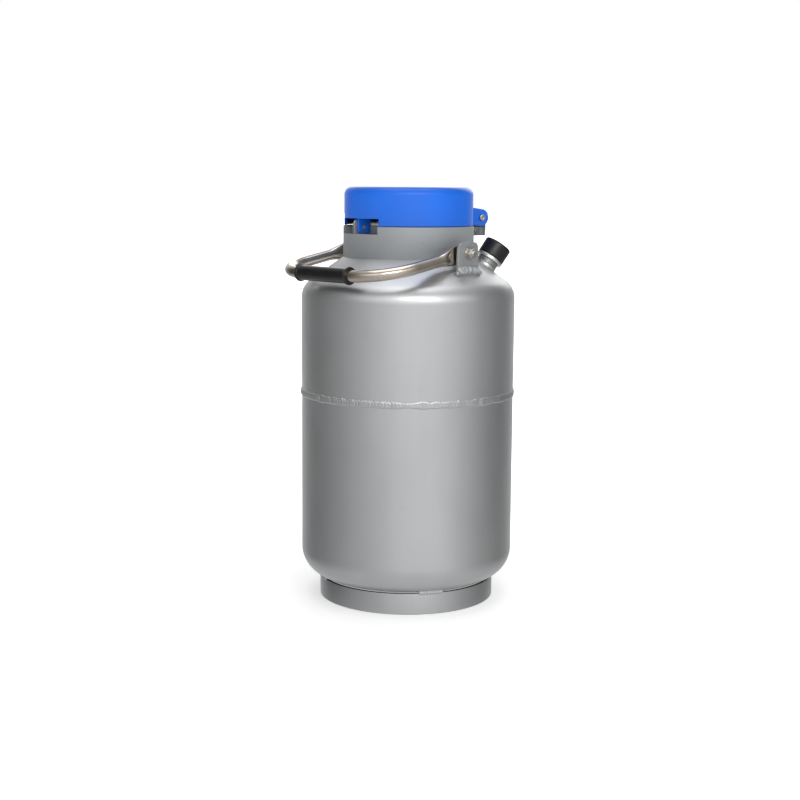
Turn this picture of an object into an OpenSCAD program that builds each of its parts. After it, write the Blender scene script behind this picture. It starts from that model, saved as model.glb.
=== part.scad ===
// Liquid nitrogen dewar, 10 litre class, with hinged cover and bail handle.
// Millimetres. Origin at the centre of the foot ring's bottom plane, +Z up.
// The front faces -Y. Azimuths are measured from the front towards +X.

/* [Vessel] */
// Outside diameter of the outer shell
body_d = 300; // [280:1:320]
// Wall thickness of the outer shell
shell_t = 2.5; // [2:0.1:3.5]
// Height at which the upper wall turns into the shoulder
shoulder_z = 426.5; // [420:0.5:430]
// Radius of the shoulder knuckle
shoulder_r = 30; // [26:1:34]
// Slope of the conical shoulder
shoulder_a = 35; // [33:0.5:37]
// Height of the girth seam between the two shell halves
seam_z = 294; // [280:1:310]
// Width of the girth weld bead
seam_w = 9; // [7:0.5:11]
// Height by which the girth weld stands proud
seam_h = 1.3; // [0.8:0.1:1.8]
// Outside diameter of the foot ring
foot_d = 248; // [240:1:252]
// Height of the foot ring
foot_h = 30.4; // [24:0.2:30.6]

/* [Neck and collar] */
// Inside radius of the neck tube
neck_r = 54; // [50:0.5:54]
// Outside radius of the collar
collar_r = 91.5; // [90:0.5:93]
// Height of the collar's top deck
collar_top = 526.5; // [524:0.5:528]
// Azimuth of the latch pocket
latch_az = -55; // [-60:1:-50]
// Half-width of the latch pocket
pocket_hw = 42.5; // [38:0.5:44]
// Height of the latch pocket's floor
pocket_z = 516; // [514:0.5:517]

/* [Lid] */
// Outside radius of the lid
lid_r = 90; // [88:0.5:90]
// Height of the lid's lower rim
lid_z0 = 527.2; // [527:0.1:529]
// Height of the lid's top face
lid_z1 = 580; // [575:1:584]
// Radius of the lid's top corner
lid_round = 11; // [8:1:12]
// Wall thickness of the lid
lid_t = 3; // [2:0.5:4]
// Height of the pin of the hinge
pin_z = 537; // [536:0.5:539]
// Distance of the hinge pin from the vessel's axis
pin_r = 120; // [119:0.5:122]

/* [Handle] */
// Azimuth of the front handle lug
lug_az = 43.5; // [42:0.5:45]
// Height of the handle's pivot bolts
pivot_z = 492; // [490:0.5:493]
// Distance from the pivots to the middle of the grip bar
bail_len = 155; // [154:0.5:158]
// Bend radius of the bail
bail_bend = 58; // [54:1:59]
// Angle by which the bail hangs below level
bail_drop = 10.5; // [10:0.5:12]
// Outside diameter of the bail tube
bail_d = 16; // [14:0.5:16]
// Length of the grip
grip_len = 100; // [90:1:102]

/* [Vacuum port] */
// Azimuth of the vacuum port
port_az = 110; // [108:1:111]
// Distance of the port's foot from the vessel's axis
port_r = 115; // [113:0.5:116]
// Radius of the port's cap
cap_r = 19.8; // [18:0.2:20]

/* [Hidden] */
$fn = 96;
e = 0.01;
R = body_d/2;
latch = latch_az;
hinge_az = latch_az + 180;
kc_r = R - shoulder_r;
tan_a = tan(shoulder_a);
t_r = kc_r + shoulder_r*sin(shoulder_a);
t_z = shoulder_z + shoulder_r*cos(shoulder_a);
mouth_r = 66;
function cone_z(r) = t_z + (t_r - r)*tan_a;
low_r = 40;
low_cr = R - low_r;
low_cz = 70;
low_a = 82;
// centre height and radius of the shallow crown of the base
crown_z = low_cz + low_cr*tan(low_a);
crown_R = low_cr/cos(low_a) + low_r;
bolt_r = 4;
arm_r = 107;
arm_t = 3.5;
tube_x = 111.5;

SILVER = [0.74, 0.75, 0.76];
GREY = [0.56, 0.58, 0.60];
BLUE = [0.04, 0.30, 0.88];
STEEL = [0.80, 0.79, 0.76];
BLACK = [0.08, 0.08, 0.09];
DARK = [0.30, 0.31, 0.33];

// Turns its children so that +X points outward at an azimuth
module polar(az) rotate([0, 0, az - 90]) children();

// Outer outline of the upper half, inset by o
module upper_profile(o = 0) {
  ra = shoulder_a;
  polygon([[0, 200], [R - o, 200], [R - o, shoulder_z], [kc_r, shoulder_z],
           [kc_r + (shoulder_r - o)*sin(ra), shoulder_z + (shoulder_r - o)*cos(ra)],
           [20 - o*sin(ra), t_z + (t_r - 20)*tan_a - o*cos(ra)], [0, t_z + (t_r - 20)*tan_a - o*cos(ra)]]);
  translate([kc_r, shoulder_z]) circle(shoulder_r - o);
}

// Outer outline of the lower half, inset by o
module lower_profile(o = 0) {
  difference() {
    union() {
      polygon([[0, low_cz + 10], [0, crown_z - sqrt(pow(crown_R - o, 2)) + 12], [low_cr - 12, low_cz - low_r + o + 4], [low_cr, low_cz], [R - o, low_cz], [R - o, 400], [0, 400]]);
      translate([low_cr, low_cz]) circle(low_r - o);
      intersection() {
        translate([0, crown_z]) circle(crown_R - o, $fn = 360);
        polygon([[0, -20], [0, low_cz + 12], [low_cr, low_cz], [low_cr + low_r*cos(low_a), low_cz - low_r*sin(low_a) - 3], [low_cr + low_r*cos(low_a), -20]]);
      }
    }
    translate([-400, -100]) square([400, 900]);
  }
}

module upper_solid(o = 0) rotate_extrude($fn = 180) upper_profile(o);
module lower_solid(o = 0) rotate_extrude($fn = 180) lower_profile(o);

// ---------------------------------------------------------------- outer vessel

module outer_shell_lower() color(SILVER)
  rotate_extrude($fn = 180) difference() {
    lower_profile(0);
    lower_profile(shell_t);
    translate([-1, seam_z]) square([400, 400]);
  }

module outer_shell_upper() color(SILVER)
  difference() {
    rotate_extrude($fn = 180) difference() {
      upper_profile(0);
      upper_profile(shell_t);
      translate([-1, 100]) square([400, seam_z - 100]);
      translate([-1, 400]) square([mouth_r + 1, 300]);
    }
    at_port() translate([0, 0, -20]) cylinder(r = 16, h = 40);
  }

module shell_seam_weld() color(SILVER) {
  rb = (pow(seam_w/2, 2) + seam_h*seam_h)/(2*seam_h);
  rotate_extrude($fn = 180) intersection() {
    translate([R + seam_h - rb, seam_z]) circle(rb);
    translate([R, seam_z - 20]) square([10, 40]);
  }
}

module seam_backing_ring() color(GREY)
  rotate_extrude($fn = 180) translate([R - shell_t - 1.8, seam_z - 11]) square([1.8, 22]);

module foot_ring() color(SILVER)
  rotate_extrude($fn = 180) polygon([[foot_d/2 - 4, 0.8], [foot_d/2 - 3.2, 0], [foot_d/2 - 0.8, 0], [foot_d/2, 0.8], [foot_d/2, foot_h], [foot_d/2 - 4, foot_h]]);

module foot_ring_welds() color(SILVER)
  difference() {
    for (k = [0:3]) rotate([0, 0, 16.3 - 90 + 90*k - 8.5])
      rotate_extrude(angle = 17, $fn = 180) translate([foot_d/2 + 0.6, foot_h + 1.2]) circle(3.3, $fn = 32);
    rotate_extrude($fn = 180) translate([foot_d/2 - 8, -1]) square([8, foot_h + 1]);
    lower_solid(0);
  }

// ---------------------------------------------------------------- inner vessel

iv_r = 118;
iv_t = 1.8;
iv_z0 = 52;
iv_z1 = 380;
iv_seam = 214;
module inner_low_profile(o = 0) {
  translate([0, iv_z0 + o]) square([iv_r - 36, 60]);
  translate([iv_r - 36, iv_z0 + 36]) circle(36 - o);
  translate([0, iv_z0 + 36]) square([iv_r - o, 260]);
}
module inner_up_profile(o = 0) {
  translate([0, iv_z1 - 60]) square([iv_r - 30, 60 - o]);
  translate([iv_r - 30, iv_z1 - 30]) circle(30 - o);
  translate([0, 100]) square([iv_r - o, iv_z1 - 130]);
}

module inner_vessel_lower() color(GREY)
  rotate_extrude($fn = 180) difference() {
    inner_low_profile(0);
    inner_low_profile(iv_t);
    translate([-1, iv_seam]) square([400, 400]);
  }

module inner_vessel_upper() color(GREY)
  rotate_extrude($fn = 180) difference() {
    inner_up_profile(0);
    inner_up_profile(iv_t);
    translate([-1, 0]) square([400, iv_seam]);
    translate([-1, 300]) square([neck_r + 4, 200]);
  }

module inner_seam_weld() color(GREY)
  rotate_extrude($fn = 180) intersection() {
    translate([iv_r + 0.9 - 4, iv_seam]) circle(4);
    translate([iv_r, iv_seam - 10]) square([4, 20]);
  }

module insulation_wrap() color([0.85, 0.84, 0.78])
  rotate_extrude($fn = 120) difference() {
    polygon([[0, 36.5], [108, 36.5], [138, 66], [138, 398], [0, 398]]);
    polygon([[0, 42.5], [104, 42.5], [119.8, 62], [119.8, 381], [0, 381]]);
    translate([-1, 300]) square([neck_r + 5.5, 200]);
  }

module adsorbent_pouch() color([0.9, 0.9, 0.86])
  rotate_extrude($fn = 96) difference() {
    translate([0, 42.6]) square([50, 9.3]);
    translate([-1, 40]) square([9, 20]);
  }

module neck_tube() color([0.62, 0.66, 0.42])
  rotate_extrude($fn = 120) translate([neck_r, 374]) square([3, 136]);

module neck_flange() color(GREY)
  difference() {
    rotate_extrude($fn = 120) translate([neck_r + 3, 494]) square([mouth_r - neck_r - 3, 16]);
    for (k = [0:3]) polar(35 + 90*k) translate([62, 0, 500]) cylinder(r = 1.9, h = 20, $fn = 32);
  }

// ---------------------------------------------------------------- collar

module collar_body() {
  rotate_extrude($fn = 180) {
    polygon([[collar_r - 3.5, 478], [collar_r, 478], [collar_r, collar_top - 0.9], [collar_r - 0.9, collar_top], [58, collar_top], [58, 510], [66, 510], [66, collar_top - 3.5], [collar_r - 3.5, collar_top - 3.5]]);
  }
  intersection() {
    polar(latch) translate([62, -pocket_hw - 3, pocket_z - 3]) cube([40, 2*pocket_hw + 6, collar_top - pocket_z + 1.7]);
    cylinder(r = collar_r - 1.8, h = 700, $fn = 180);
  }
}

module neck_collar() color(GREY)
  difference() {
    collar_body();
    upper_solid(0);
    polar(latch) translate([66.6, -pocket_hw, pocket_z]) cube([60, 2*pocket_hw, 40]);
    for (k = [0:3]) polar(35 + 90*k) {
      translate([62, 0, 505]) cylinder(r = 2.1, h = 40, $fn = 32);
      translate([62, 0, collar_top - 2.2]) cylinder(r1 = 2.1, r2 = 4.4, h = 2.3, $fn = 48);
    }
    polar(hinge_az) for (s = [-1, 1]) translate([80, s*7, 517.5]) rotate([0, 90, 0]) cylinder(r = 2.6, h = 20, $fn = 32);
  }

module collar_screws() color(STEEL)
  for (k = [0:3]) polar(35 + 90*k) translate([62, 0, 0]) difference() {
    union() {
      translate([0, 0, 501]) cylinder(r = 1.85, h = 23.5, $fn = 32);
      translate([0, 0, collar_top - 2.3]) cylinder(r1 = 1.85, r2 = 4.1, h = 2.2, $fn = 48);
    }
    translate([0, 0, collar_top - 1.3]) cylinder(r = 1.5, h = 3, $fn = 6);
  }

module hasp_lug() color(GREY)
  polar(latch) translate([0, 0.8, 0]) rotate([90, 0, 0]) linear_extrude(height = 3) difference() {
    union() {
      translate([66.6, pocket_z]) square([24.6, 14]);
      translate([66.6, pocket_z + 14]) square([18.6, 6]);
      translate([85.2, pocket_z + 14]) circle(6, $fn = 48);
    }
    translate([77, 525]) circle(3.2, $fn = 48);
  }

// ---------------------------------------------------------------- hinge

module at_pin() polar(hinge_az) translate([pin_r, 0, pin_z]) rotate([-90, 0, 0]) children();

module hinge_block() color(DARK)
  difference() {
    union() {
      polar(hinge_az) translate([80, -12, 511.5]) cube([46.5, 24, 12.5]);
      polar(hinge_az) translate([pin_r - 10.5, -8, 520]) cube([17, 16, pin_z - 520]);
      at_pin() translate([0, 0, -8]) cylinder(r = 10.5, h = 16, $fn = 64);
    }
    cylinder(r = collar_r, h = 700, $fn = 180);
    at_pin() translate([0, 0, -20]) cylinder(r = 3.05, h = 40, $fn = 48);
    polar(hinge_az) for (s = [-1, 1]) translate([80, s*7, 517.5]) rotate([0, 90, 0]) cylinder(r = 2.55, h = 32, $fn = 32);
  }

module hinge_block_screws() color(STEEL)
  polar(hinge_az) for (s = [-1, 1]) translate([0, s*7, 517.5]) rotate([0, 90, 0]) difference() {
    union() {
      translate([0, 0, 87.1]) cylinder(r = 2.5, h = 22.8, $fn = 32);
      translate([0, 0, 82.2]) cylinder(r = 4.2, h = 5, $fn = 48);
    }
    translate([0, 0, 81.2]) cylinder(r = 2.2, h = 3.6, $fn = 6);
  }

module hinge_pin() color(STEEL)
  at_pin() difference() {
    union() {
      translate([0, 0, -13]) cylinder(r = 3, h = 31, $fn = 48);
      translate([0, 0, -17.3]) cylinder(r = 5, h = 4.5, $fn = 64);
    }
    translate([0, 0, -18]) cylinder(r = 2.9, h = 3.4, $fn = 6);
  }

module hinge_nut() color(STEEL)
  at_pin() translate([0, 0, 12.8]) difference() {
    cylinder(r = 5.6, h = 4.8, $fn = 6);
    translate([0, 0, -1]) cylinder(r = 3.0, h = 8, $fn = 48);
  }

// ---------------------------------------------------------------- handle lugs

module handle_lug() difference() {
  translate([118, 0, 0]) rotate([0, -90, 0]) linear_extrude(height = 4.5) {
    translate([455, -20]) square([501 - 455, 40]);
    translate([455, -14]) square([507 - 455, 28]);
    for (s = [-1, 1]) translate([501, s*14]) circle(6, $fn = 48);
  }
  upper_solid_turned();
  translate([100, 0, pivot_z]) rotate([0, 90, 0]) cylinder(r = bolt_r + 0.1, h = 30, $fn = 64);
}
module upper_solid_turned() upper_solid(0);

module handle_lug_front() color(GREY) polar(lug_az) handle_lug();
module handle_lug_rear() color(GREY) polar(lug_az + 180) handle_lug();

module lug_welds() color(GREY)
  for (a = [lug_az, lug_az + 180]) polar(a) difference() {
    union() {
      for (x = [[117.2, 4.6], [114.3, 3.6]]) translate([x[0], -19, cone_z(x[0]) + 1]) rotate([-90, 0, 0]) cylinder(r = x[1], h = 38, $fn = 32);
      for (s = [-1, 1]) translate([117.2, s*19, cone_z(117.2) + 1]) sphere(4.6, $fn = 32);
    }
    upper_solid(0);
    translate([113.5, -20, 400]) cube([4.5, 40, 120]);
  }

module bolts_at() for (a = [lug_az, lug_az + 180]) polar(a) translate([0, 0, pivot_z]) rotate([0, 90, 0]) children();

module handle_bolts() color(STEEL) bolts_at() union() {
  translate([0, 0, 101.2]) cylinder(r = 7.4, h = 5.4, $fn = 6);
  translate([0, 0, 106.6]) cylinder(r = bolt_r, h = 23.4, $fn = 64);
}
module ring(r0, r1, z, h) translate([0, 0, z]) difference() {
  cylinder(r = r1, h = h, $fn = 64);
  translate([0, 0, -1]) cylinder(r = r0, h = h + 2, $fn = 64);
}
module handle_spacers() color([0.88, 0.87, 0.82]) bolts_at() ring(bolt_r + 0.1, 9, 110.9, 2.6);
module handle_washers() color(STEEL) bolts_at() ring(bolt_r + 0.1, 8, 118, 1.5);
module handle_nuts() color(STEEL) bolts_at() {
  translate([0, 0, 119.5]) difference() {
    cylinder(r = 7.4, h = 5.6, $fn = 6);
    translate([0, 0, -1]) cylinder(r = bolt_r, h = 8, $fn = 64);
  }
  ring(bolt_r, 5.9, 125.1, 2.4);
}

// ---------------------------------------------------------------- vacuum port

module at_port() polar(port_az) translate([port_r, 0, cone_z(port_r)]) rotate([0, shoulder_a, 0]) children();

module port_boss() color(GREY) difference() {
  at_port() difference() {
    translate([0, 0, -7]) cylinder(r = 16, h = 13, $fn = 96);
    translate([0, 0, -8]) cylinder(r = 11, h = 16, $fn = 64);
  }
}
module port_boss_weld() color(GREY) difference() {
  at_port() rotate_extrude($fn = 96) translate([16.4, 0.2]) circle(2.6, $fn = 32);
  upper_solid(0);
  at_port() translate([0, 0, -10]) cylinder(r = 16, h = 40, $fn = 96);
}
// Stem with a ribbed waist and a plain spigot, bored for the plug
module port_body() color(DARK) at_port() difference() {
  union() {
    translate([0, 0, -6]) cylinder(r = 11, h = 12, $fn = 96);
    translate([0, 0, 6]) cylinder(r = 14.6, h = 6.3, $fn = 96);
    for (k = [0:2]) translate([0, 0, 6.4 + 2.1*k]) cylinder(r = 15.8, h = 1.2, $fn = 96);
    translate([0, 0, 12.3]) cylinder(r = 14.6, h = 12.7, $fn = 96);
  }
  translate([0, 0, -8]) cylinder(r = 7.1, h = 40, $fn = 64);
}
module port_ring() color(STEEL) at_port() difference() {
  union() {
    translate([0, 0, 12.8]) cylinder(r = cap_r, h = 3.9, $fn = 96);
    translate([0, 0, 12.4]) cylinder(r1 = cap_r - 0.5, r2 = cap_r, h = 0.5, $fn = 96);
    translate([0, 0, 16.6]) cylinder(r1 = cap_r, r2 = cap_r - 0.6, h = 0.6, $fn = 96);
  }
  translate([0, 0, 10]) cylinder(r = 14.6, h = 12, $fn = 96);
}
module port_cap() color(BLACK) at_port() difference() {
  union() {
    translate([0, 0, 17.6]) cylinder(r = cap_r, h = 20.6, $fn = 96);
    translate([0, 0, 38.2]) cylinder(r = cap_r - 1.6, h = 1.6, $fn = 96);
    rotate_extrude($fn = 96) translate([cap_r - 1.6, 38.2]) circle(1.6, $fn = 48);
  }
  translate([0, 0, 17]) cylinder(r = 15, h = 19.5, $fn = 96);
}
module vacuum_plug() color(STEEL) at_port() difference() {
  union() {
    translate([0, 0, -4]) cylinder(r = 7, h = 29, $fn = 64);
    translate([0, 0, 25.2]) cylinder(r = 9.5, h = 2.6, $fn = 64);
    translate([0, 0, 25]) cylinder(r = 7, h = 1, $fn = 64);
  }
  rotate_extrude($fn = 64) translate([5.9, 5]) square([3, 2.4]);
  translate([0, 0, 20]) cylinder(r = 2.2, h = 20, $fn = 32);
}
module vacuum_plug_oring() color(BLACK) at_port() rotate_extrude($fn = 64) intersection() {
  translate([6.6, 6.2]) circle(1.15, $fn = 32);
  translate([5.9, 5.02]) square([1.18, 2.36]);
}

// ---------------------------------------------------------------- lid

module lid_profile(o = 0) {
  r = lid_round - o;
  translate([0, 500]) square([lid_r - o, lid_z1 - lid_round - 500]);
  translate([0, 520]) square([lid_r - lid_round, lid_z1 - o - 520]);
  translate([lid_r - lid_round, lid_z1 - lid_round]) circle(r);
}

module lid_shell() color(BLUE)
  difference() {
    rotate_extrude($fn = 180) difference() {
      lid_profile(0);
      lid_profile(lid_t);
      translate([-1, 400]) square([300, lid_z0 - 400]);
    }
    polar(latch) translate([60, -pocket_hw, 500]) cube([60, 2*pocket_hw, pin_z - 500]);
  }

module ear(t0) polar(hinge_az) translate([0, t0 + 4, 0]) rotate([90, 0, 0]) linear_extrude(height = 4) difference() {
  union() {
    translate([pin_r, pin_z]) circle(12, $fn = 64);
    polygon([[84, 527.6], [84, 554], [91, 553.4], [pin_r + 1.7, pin_z + 11.88], [pin_r, pin_z], [pin_r - 0.6, pin_z - 11.98]]);
  }
  translate([pin_r, pin_z]) circle(3.1, $fn = 48);
}
module lid_hinge_ears() color(BLUE) difference() {
  union() { ear(8.4); ear(-12.4); }
  cylinder(r = lid_r, h = 700, $fn = 180);
}

module lid_hasp_tab() color(BLUE)
  difference() {
    polar(latch) translate([0, 4.1, 0]) rotate([90, 0, 0]) linear_extrude(height = 2.5) difference() {
      union() {
        translate([67, 519.5]) square([19, 22]);
        translate([69, 517.5]) square([15, 4]);
        for (x = [69, 84]) translate([x, 519.5]) circle(2, $fn = 32);
        translate([67, 537.8]) square([24, 22]);
      }
      translate([77, 525]) circle(3.2, $fn = 48);
    }
    difference() {
      cylinder(r = 120, h = 700, $fn = 180);
      cylinder(r = lid_r - lid_t, h = 700, $fn = 180);
    }
  }

module lid_foam() color([0.93, 0.92, 0.86])
  rotate_extrude($fn = 120) polygon([[0, 562], [84, 562], [84, lid_z1 - lid_t - 4], [78.5, lid_z1 - lid_t], [0, lid_z1 - lid_t]]);

// ---------------------------------------------------------------- neck plug

module plug_cap() color([0.86, 0.87, 0.88])
  rotate_extrude($fn = 120) {
    translate([0, collar_top + 0.4]) square([63.8, 4.4]);
    translate([63.8, collar_top + 2.6]) circle(2.2, $fn = 48);
    translate([0, collar_top + 4.7]) square([20, 14.5]);
    translate([0, collar_top + 12]) square([23, 4.2]);
    translate([23, collar_top + 14.1]) circle(2.1, $fn = 48);
  }

module plug_core() color([0.93, 0.92, 0.86])
  difference() {
    translate([0, 0, 402]) cylinder(r = 52.6, h = collar_top + 0.4 - 402, $fn = 120);
    for (k = [0:3]) rotate([0, 0, 45 + 90*k]) translate([53.4, 0, 400]) cylinder(r = 2.6, h = 120, $fn = 32);
  }

// ---------------------------------------------------------------- bail handle

module at_bail() polar(lug_az) translate([0, 0, pivot_z]) rotate([bail_drop, 0, 0]) children();
straight_y = bail_len - bail_bend;

// The bent tube as a solid bar of radius r, its straight arms starting at y0
module bail_bar(r, y0) {
  for (m = [0, 1]) mirror([m, 0, 0]) {
    translate([tube_x, -y0, 0]) rotate([90, 0, 0]) cylinder(r = r, h = straight_y - y0, $fn = 64);
    translate([tube_x - bail_bend, -straight_y, 0]) rotate([0, 0, -90]) rotate_extrude(angle = 90, $fn = 120) translate([bail_bend, 0]) circle(r, $fn = 64);
  }
  translate([-(tube_x - bail_bend), -bail_len, 0]) rotate([0, 90, 0]) cylinder(r = r, h = 2*(tube_x - bail_bend), $fn = 64);
}
module eye() difference() {
  union() {
    translate([arm_r, 0, 0]) rotate([0, 90, 0]) cylinder(r = 12.5, h = arm_t, $fn = 96);
    translate([arm_r, -16, -12.5]) cube([arm_t, 16, 25]);
    hull() {
      translate([arm_r, -16, -12.5]) cube([arm_t, 0.2, 25]);
      translate([tube_x, -35.9, 0]) rotate([90, 0, 0]) cylinder(r = bail_d/2 - 0.1, h = 0.1, $fn = 32);
    }
  }
  translate([90, 0, 0]) rotate([0, 90, 0]) cylinder(r = bolt_r + 0.08, h = 40, $fn = 64);
}
module handle_tube() color(STEEL) at_bail() {
  difference() {
    bail_bar(bail_d/2, 36);
    bail_bar(bail_d/2 - 1.5, 42);
  }
  for (m = [0, 1]) mirror([m, 0, 0]) eye();
}

module handle_grip() color(BLACK) at_bail() translate([-grip_len/2, -(bail_len), 0]) rotate([0, 90, 0]) rotate_extrude($fn = 96) difference() {
  union() {
    square([10.4, grip_len]);
    for (z = [0, grip_len - 4]) translate([0, z]) square([11.2, 4]);
    for (z = [1.6, grip_len - 1.6]) translate([10.6, z]) circle(1.6, $fn = 48);
  }
  translate([-1, -1]) square([bail_d/2 + 1, grip_len + 2]);
}

outer_shell_lower();
outer_shell_upper();
shell_seam_weld();
seam_backing_ring();
foot_ring();
foot_ring_welds();
inner_vessel_lower();
inner_vessel_upper();
inner_seam_weld();
insulation_wrap();
adsorbent_pouch();
neck_tube();
neck_flange();
neck_collar();
collar_screws();
hasp_lug();
hinge_block();
hinge_block_screws();
hinge_pin();
hinge_nut();
handle_lug_front();
handle_lug_rear();
lug_welds();
handle_bolts();
handle_spacers();
handle_washers();
handle_nuts();
port_boss();
port_boss_weld();
port_body();
port_ring();
port_cap();
vacuum_plug();
vacuum_plug_oring();
lid_shell();
lid_hinge_ears();
lid_hasp_tab();
lid_foam();
plug_cap();
plug_core();
handle_tube();
handle_grip();
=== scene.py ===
import bpy, bmesh, math, random
from mathutils import Vector, Matrix, noise


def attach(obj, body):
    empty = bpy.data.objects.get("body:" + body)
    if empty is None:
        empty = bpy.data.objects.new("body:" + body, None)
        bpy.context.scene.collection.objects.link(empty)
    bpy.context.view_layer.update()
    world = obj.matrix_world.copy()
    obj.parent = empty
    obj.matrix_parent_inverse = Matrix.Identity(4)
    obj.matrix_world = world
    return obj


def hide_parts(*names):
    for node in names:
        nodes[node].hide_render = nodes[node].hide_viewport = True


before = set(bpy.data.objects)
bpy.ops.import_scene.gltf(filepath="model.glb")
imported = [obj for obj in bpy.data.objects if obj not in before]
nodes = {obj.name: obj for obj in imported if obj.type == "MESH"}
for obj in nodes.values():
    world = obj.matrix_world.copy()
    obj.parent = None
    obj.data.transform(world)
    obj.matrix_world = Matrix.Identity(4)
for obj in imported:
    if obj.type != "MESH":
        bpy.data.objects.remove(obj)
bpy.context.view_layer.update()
random.seed(7)
MM = 0.001
rad, sin, cos, tan, pi = math.radians, math.sin, math.cos, math.tan, math.pi

# ------------------------------------------------------------------ CAD datums (mm)
R = 150.0
T_R = 120 + 30 * sin(rad(35)); T_Z = 426.5 + 30 * cos(rad(35))
def cone_z(r): return T_Z + (T_R - r) * tan(rad(35))
SEAM = 294.0
COLLAR_R, COLLAR_TOP = 91.5, 526.5
LID_R, LID_Z0, LID_Z1 = 90.0, 527.2, 580.0
LATCH, HINGE = -55.0, 125.0
PIN_R, PIN_Z = 120.0, 537.0
LUG_AZ, PIVOT_Z = 43.5, 492.0
BAIL_LEN, BEND, DROP, TUBE_X = 155.0, 58.0, 10.5, 111.5
PORT_AZ, PORT_R = 110.0, 115.0
def polar(az): return Matrix.Rotation(rad(az - 90), 4, 'Z')
def tr(x, y, z): return Matrix.Translation((x, y, z))
def rx(a): return Matrix.Rotation(rad(a), 4, 'X')
def ry(a): return Matrix.Rotation(rad(a), 4, 'Y')
def rz(a): return Matrix.Rotation(rad(a), 4, 'Z')
AT_PORT = polar(PORT_AZ) @ tr(PORT_R, 0, cone_z(PORT_R)) @ ry(35)
AT_BAIL = polar(LUG_AZ) @ tr(0, 0, PIVOT_Z) @ rx(DROP)
AT_PIN = polar(HINGE) @ tr(PIN_R, 0, PIN_Z) @ rx(-90)

# ------------------------------------------------------------------ material helpers
class NT:
    """Small helper that adds and links shader nodes."""
    def __init__(self, name):
        self.m = bpy.data.materials.new(name); self.m.use_nodes = True
        self.t = self.m.node_tree; self.t.nodes.clear()
        self.out = self.t.nodes.new("ShaderNodeOutputMaterial")
        self.p = self.t.nodes.new("ShaderNodeBsdfPrincipled")
        self.t.links.new(self.p.outputs[0], self.out.inputs[0])
        self.co = self.t.nodes.new("ShaderNodeTexCoord").outputs["Object"]
    def n(self, kind, **kw):
        nd = self.t.nodes.new(kind)
        for k, v in kw.items(): setattr(nd, k, v)
        return nd
    def link(self, a, b): self.t.links.new(a, b)
    def noise(self, scale, detail=4, rough=0.55, vec=None, stretch=None, distort=0.0):
        nd = self.n("ShaderNodeTexNoise")
        nd.inputs["Scale"].default_value = scale; nd.inputs["Detail"].default_value = detail
        nd.inputs["Roughness"].default_value = rough; nd.inputs["Distortion"].default_value = distort
        src = vec or self.co
        if stretch:
            mp = self.n("ShaderNodeMapping"); mp.inputs["Scale"].default_value = stretch
            self.link(src, mp.inputs[0]); src = mp.outputs[0]
        self.link(src, nd.inputs["Vector"])
        return nd.outputs["Fac"]
    def voronoi(self, scale, feature='F1', rnd=1.0):
        nd = self.n("ShaderNodeTexVoronoi", feature=feature); nd.inputs["Scale"].default_value = scale
        nd.inputs["Randomness"].default_value = rnd
        self.link(self.co, nd.inputs["Vector"]); return nd.outputs["Distance"]
    def rng(self, fac, a, b, lo, hi, clamp=True):
        nd = self.n("ShaderNodeMapRange", clamp=clamp)
        for i, v in zip((1, 2, 3, 4), (a, b, lo, hi)): nd.inputs[i].default_value = v
        self.link(fac, nd.inputs[0]); return nd.outputs[0]
    def mix(self, fac, a, b, blend='MIX'):
        nd = self.n("ShaderNodeMix", data_type='RGBA', blend_type=blend)
        if hasattr(fac, "is_linked"): self.link(fac, nd.inputs[0])
        else: nd.inputs[0].default_value = fac
        for i, v in ((6, a), (7, b)):
            if hasattr(v, "is_linked"): self.link(v, nd.inputs[i])
            else: nd.inputs[i].default_value = (*v, 1)
        return nd.outputs[2]
    def math(self, op, a, b=0.0, clamp=False):
        nd = self.n("ShaderNodeMath", operation=op, use_clamp=clamp)
        for i, v in ((0, a), (1, b)):
            if hasattr(v, "is_linked"): self.link(v, nd.inputs[i])
            else: nd.inputs[i].default_value = v
        return nd.outputs[0]
    def bump(self, height, dist, strength=1.0, prev=None):
        nd = self.n("ShaderNodeBump"); nd.inputs["Distance"].default_value = dist
        nd.inputs["Strength"].default_value = strength
        self.link(height, nd.inputs["Height"])
        if prev is not None: self.link(prev, nd.inputs["Normal"])
        return nd.outputs[0]
    def wear(self, lo=0.53, hi=0.62):
        g = self.n("ShaderNodeNewGeometry"); return self.rng(g.outputs["Pointiness"], lo, hi, 0, 1)
    def set(self, **kw):
        for k, v in kw.items():
            self.p.inputs[k.replace("_", " ")].default_value = v if not isinstance(v, tuple) else (*v, 1)

def painted_gap_shade(m, z0, z1, dark):
    """Paints near-black into a paint where the part's height lies between z0 and z1: painted shade for the dark gap
    between the vessel's bottom and the foot ring.
    """
    nt_ = m.node_tree; bs = next(n for n in nt_.nodes if n.type == 'BSDF_PRINCIPLED'); src = bs.inputs["Base Color"].links[0].from_socket
    tc_ = nt_.nodes.new("ShaderNodeTexCoord"); sp = nt_.nodes.new("ShaderNodeSeparateXYZ"); nt_.links.new(tc_.outputs["Object"], sp.inputs[0])
    mr = nt_.nodes.new("ShaderNodeMapRange"); mr.clamp = True
    for i, v in zip((1, 2, 3, 4), (z0 * MM, z1 * MM, 0, 1)): mr.inputs[i].default_value = v
    nt_.links.new(sp.outputs[2], mr.inputs[0])
    mx = nt_.nodes.new("ShaderNodeMix"); mx.data_type = 'RGBA'; nt_.links.new(mr.outputs[0], mx.inputs[0])
    nt_.links.new(src, mx.inputs[6]); mx.inputs[7].default_value = (*dark, 1); nt_.links.new(mx.outputs[2], bs.inputs["Base Color"])
    return m

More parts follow.
